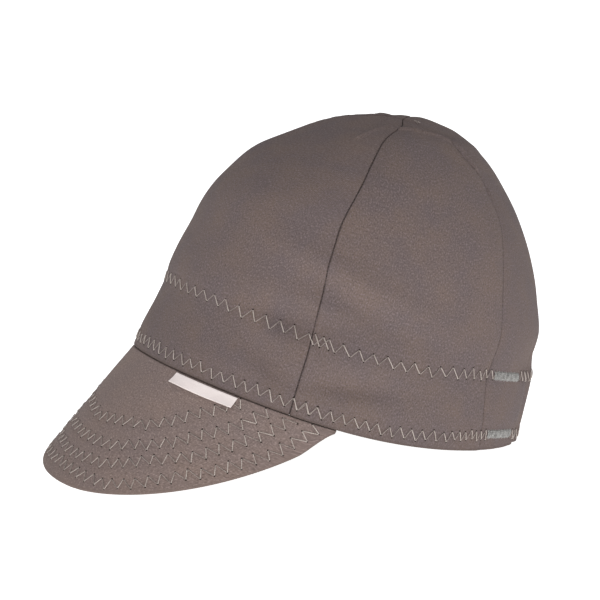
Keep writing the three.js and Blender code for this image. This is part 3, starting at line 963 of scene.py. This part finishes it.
BEHIND_TACKS = math.radians(115), math.radians(150)
TACKS_UPPER = math.radians(118), math.radians(132)  # from bearing to bearing on each side
TACKS_LOWER = math.radians(120), math.radians(134.2)


def back_share(bearing):
    """How far a bearing lies towards the tacks, up to which both rows climb a little."""
    return smoothstep(np.abs(turn(bearing)), math.radians(88), math.radians(118))


HOLE_LIFT = 0.1  # clear of the cloth
row_holes = []  # needle holes, as points and normals on the cloth


def crown_zigzag(middle, start, end, step, rise, sag, tacks):
    run, bearings = row_run(middle, start, end)
    # Beside the tacks and behind them the elastic draws the stitches together.
    drawn = 1 + 0.7 * smoothstep(np.abs(turn(bearings)), math.radians(101), math.radians(112))
    run = np.concatenate([[0], np.cumsum(np.diff(run) * drawn[1:])])
    turning, side = zigzag(run[-1], step)
    wobble = 0.25 * np.sin(turning * 0.37) + 0.2 * np.sin(turning * 0.91 + 2)
    at = np.interp(turning, run, bearings)
    heights = middle + side + wobble + rise * back_share(at)
    heights = heights - sag * smoothstep(np.abs(turn(at)), *BEHIND_TACKS)
    inside = CROWN_WALL + SEAM_GAP + BAND_WALL - 0.35
    falling, rising = [], []
    for i in range(len(at) - 1):
        if tacks[0] < np.abs(turn(at[i])) < tacks[1]:
            continue  # the tack's own stitches lie here
        legs = falling if i % 2 == 0 else rising
        for steps, proud, depth in ((11, 0.44 if i % 2 == 0 else 0.38, None), (7, 0.2, inside)):
            t, lift = dip(steps, proud)
            bearing, height = between(at[i], at[i + 1], t), between(heights[i], heights[i + 1], t)
            legs.append(lay(*crown_face(bearing, height, lift, depth)))
    facing = np.abs(turn(at))
    shown = (facing < tacks[0]) | (facing > tacks[1])
    row_holes.extend(zip(*lay(*crown_face(at[shown], heights[shown], HOLE_LIFT))))
    return falling, rising


# Each row begins beside the left front seam and overlaps its own start a little. Both climb to
# the tacks and come down again behind them, where the band is gathered.
ROW_START = math.radians(57.5)
THREAD_RADIUS, SHADED_RADIUS = 0.24, 0.22
# Name, middle, overlap in degrees, step, rise to the tacks, sag behind them, and the tacks
ZIGZAG_ROWS = (
    ("upper", UPPER_ROW, 5, 7.5, 1.0, 4.6, TACKS_UPPER),
    ("lower", LOWER_ROW, 7, 6.2, 2.2, 3.4, TACKS_LOWER),
)
for name, middle, overlap, *shape in ZIGZAG_ROWS:
    row_end = ROW_START + 2 * PI + math.radians(overlap)
    falling, rising = crown_zigzag(middle, ROW_START, row_end, *shape)
    strands(f"{name}_row_falling_thread", falling, THREAD_RADIUS, row_thread)
    strands(f"{name}_row_rising_thread", rising, SHADED_RADIUS, shaded_thread)


def brim_face(across, distance, lift, under=False):
    _, _, below = brim_frame(across, distance)
    if under:
        return brim_point(across, distance, BRIM_THICKNESS + lift), below
    return brim_point(across, distance, brim_relief(across, distance) - lift), -below


def brim_zigzag(row):
    last = BRIM_ROWS[row][-1][0]
    across = np.linspace(-last, last, 800)
    run = run_along(brim_point(across, brim_row(row, across), 0.0))
    # The way across the row, in shares of the half width and millimetres from the joint.
    slope = np.gradient(brim_row(row, across), across * BRIM_HALF_WIDTH)
    slant = np.sqrt(1 + slope ** 2)
    turning, side = zigzag(run[-1], 6.6)
    middle = np.interp(turning, run, across)
    side = 0.2 * np.sin(turning * 0.53 + row) - side
    lean, scale = np.interp(turning, run, slope), np.interp(turning, run, slant)
    at = middle - side * lean / scale / BRIM_HALF_WIDTH
    reach = np.maximum(brim_row(row, middle) + side / scale, 0.3)
    falling, rising = [], []
    for i in range(len(at) - 1):
        legs = falling if reach[i + 1] > reach[i] else rising
        t, lift = dip(10, 0.38 if legs is falling else 0.44)
        share, far = between(at[i], at[i + 1], t), between(reach[i], reach[i + 1], t)
        legs.append(lay(*brim_face(share, far, lift)))
        legs.append(lay(*brim_face(share, far, lift - 0.1, under=True)))
    row_holes.extend(zip(*lay(*brim_face(at, reach, HOLE_LIFT))))
    return falling, rising


brim_falling, brim_rising = [], []
for row in range(len(BRIM_ROWS)):
    falling, rising = brim_zigzag(row)
    brim_falling += falling
    brim_rising += rising
strands("brim_rising_thread", brim_rising, THREAD_RADIUS, row_thread)
strands("brim_falling_thread", brim_falling, SHADED_RADIUS, shaded_thread)


# Bar tacks

TACK_TALL = 4.7


def bar_tack(mirror, bearings, heights):
    """A row of short upright stitches side by side, over a few long ones."""
    count = 40
    runs = []
    for i in range(count):
        share = i / (count - 1)
        bearing, middle = mirror * between(*bearings, share), between(*heights, share)
        tall = TACK_TALL * (0.5 + 0.05 * math.sin(5.1 * i))
        lean = mirror * 0.004 * (1 if i % 2 else -1)
        t, lift = dip(8, 0.62 + 0.12 * math.sin(2.7 * i), share=0.25)
        height = middle + tall * (2 * t - 1)
        runs.append(lay(*crown_face(bearing + lean * (2 * t - 1), height, lift)))
    for level in (-0.3, 0.3):  # the long stitches that the short ones cover
        t, lift = dip(24, 0.32, share=0.05)
        height = between(*heights, t) + level * TACK_TALL
        runs.append(lay(*crown_face(mirror * between(*bearings, t), height, lift)))
    return runs


tack_runs = []
for mirror in (1, -1):
    tack_runs += bar_tack(mirror, TACKS_UPPER, (37.6, 35.6))
    tack_runs += bar_tack(mirror, TACKS_LOWER, (8.3, 7))
strands("bar_tack_thread", tack_runs, 0.27, tack_thread, flatness=0.85)


# Seam lines and the needle hole marks, darkened by painted shade


def seam_shade_stitches():
    """Short dark stitches in the grooves of the four seams: painted shade along the seam lines."""
    runs = []
    heights = np.arange(1.5, row_height(np.array(TOP_ROW - 1.2)), SEAM_STITCH)
    above = BAND_ROWS + (heights - BAND_HEIGHT) / ROW_LENGTH
    rows = np.where(heights < BAND_HEIGHT, heights * BAND_ROWS / BAND_HEIGHT, above)
    for seam, side_of in ((front_seam, 1), (back_seam, 1), (back_seam, -1), (front_seam, -1)):
        for row in rows:
            bearing = side_of * seam(np.array(row))
            side = np.linspace(-0.75, 0.75, 5)
            around = bearing + side / girth(bearing, row_climb(row, bearing))
            rows_here = np.full(5, row)
            climbs = row_climb(rows_here, around)
            relief = crown_relief(around, rows_here) - 0.42 - 0.25 * np.abs(side)
            stitch = crown_skin(around, climbs, 0.0, 0.0, relief) + panel_offset(around, rows_here).mean(0)
            runs.append(lay(stitch, crown_normal(around, climbs)))
    return runs


strands("seam_line_shade_thread", seam_shade_stitches(), 0.2, seam_shade_thread, sides=5)

# Dark discs of painted shade, one at each needle hole.
HOLE_RADIUS = 0.44
hole_points, hole_faces = [], []
for i, (point, normal) in enumerate(row_holes):
    aside = unit(np.cross(normal, np.array([0.3, 0.2, 1.0])))
    up = np.cross(normal, aside)
    size = HOLE_RADIUS + 0.06 * math.sin(3.3 * i)
    ring = [point + size * (math.cos(a) * aside + math.sin(a) * up) for a in np.arange(8) * PI / 4]
    ring.append(point + 0.05 * normal)
    first = len(hole_points)
    hole_points += ring
    hole_faces += [(first + k, first + (k + 1) % 8, first + 8) for k in range(8)]
hole_points = np.array(hole_points)
build("needle_hole_shade", hole_points, hole_faces, hole_points[:, :2], hole_shade)

# Thread ends at the crossing

TUFT_BEARING, TUFT_ROW = np.array(math.radians(155)), np.array(TOP_ROW - 0.4)
tuft_relief = crown_relief(TUFT_BEARING, TUFT_ROW) + 0.15
tuft_foot = crown_skin(TUFT_BEARING, row_climb(TUFT_ROW, TUFT_BEARING), 0.0, 0.0, tuft_relief)
tuft = []
for i, (way, reach) in enumerate(((0.4, 1.9), (1.7, 1.5), (2.9, 1.7), (4.4, 1.3))):
    t = np.linspace(0, 1, 9)
    path = tuft_foot + np.stack([
        math.sin(way) * reach * t,
        -math.cos(way) * reach * t + 0.3 * np.sin(4 * t + i),
        0.9 * np.sin(PI * t * (0.7 + 0.1 * i)),
    ], -1)
    tuft.append(lay(path, np.tile(np.array([0.05, 0, 1.0]), (9, 1))))
strands("crossing_thread_ends", tuft, 0.18, row_thread, flatness=1.0)

# Floor, light and camera

floor_mesh = bpy.data.meshes.new("floor")
floor_mesh.from_pydata([(-6, -6, 0), (6, -6, 0), (6, 6, 0), (-6, 6, 0)], [], [(0, 1, 2, 3)])
floor = link_in("floor", floor_mesh)
floor_paint, _, floor_shader = principled("floor paint", 0.9)
set_inputs(floor_shader, {"Base Color": (0.8, 0.8, 0.8, 1), "Emission Color": (1, 1, 1, 1)})
set_inputs(floor_shader, {"Emission Strength": 1})
floor_mesh.materials.append(floor_paint)

world = bpy.data.worlds.new("studio")
bpy.context.scene.world = world
world.use_nodes = True
sky = world.node_tree
background = sky.nodes["Background"]
direction = node(sky, "ShaderNodeSeparateXYZ", {0: node(sky, "ShaderNodeTexCoord").outputs["Generated"]})
upwards = spread_out(sky, direction.outputs["Z"], 0, 0.5)
sky_colour = mix_colour(sky, upwards, (0.95, 0.95, 0.95, 1), (0.47, 0.47, 0.48, 1))
sky.links.new(sky_colour, background.inputs["Color"])
background.inputs["Strength"].default_value = 0.78


def soft_light(name, place, size, power, tint=(1, 1, 1)):
    lamp = bpy.data.lights.new(name, "AREA")
    lamp.shape = "DISK"
    lamp.size = size
    lamp.energy = power
    lamp.color = tint
    holder = link_in(name, lamp)
    holder.location = place
    aim = np.array([0, 0, 0.08]) - np.array(place)
    holder.rotation_mode = "QUATERNION"
    holder.rotation_quaternion = Vector(aim).to_track_quat("-Z", "Y")


soft_light("camera side light", (1.55, -0.8, 0.1), 0.6, 16, (1, 0.97, 0.94))
soft_light("overhead light", (0.1, 0, 1.5), 0.8, 3.5)

AZIMUTH, ELEVATION = math.radians(65), math.radians(12.9)
AIM, SHIFT_RIGHT, SHIFT_UP, FAR = np.array([0, 22, 98.35]), -17.2, -24.2, 1300.0
view_back = np.array([
    math.sin(AZIMUTH) * math.cos(ELEVATION), -math.cos(AZIMUTH) * math.cos(ELEVATION), math.sin(ELEVATION)
])
view_right = np.array([math.cos(AZIMUTH), math.sin(AZIMUTH), 0])
view_up = np.cross(view_back, view_right)
eye = AIM + view_right * SHIFT_RIGHT + view_up * SHIFT_UP + view_back * FAR
camera_data = bpy.data.cameras.new("camera")
camera_data.sensor_width = 36
camera_data.lens = 156
camera_data.clip_start, camera_data.clip_end = 0.05, 30
camera = link_in("camera", camera_data)
camera.location = tuple(eye * MM)
camera.rotation_euler = (PI / 2 - ELEVATION, 0, AZIMUTH)
bpy.context.scene.camera = camera
bpy.context.scene.view_settings.view_transform = "Standard"
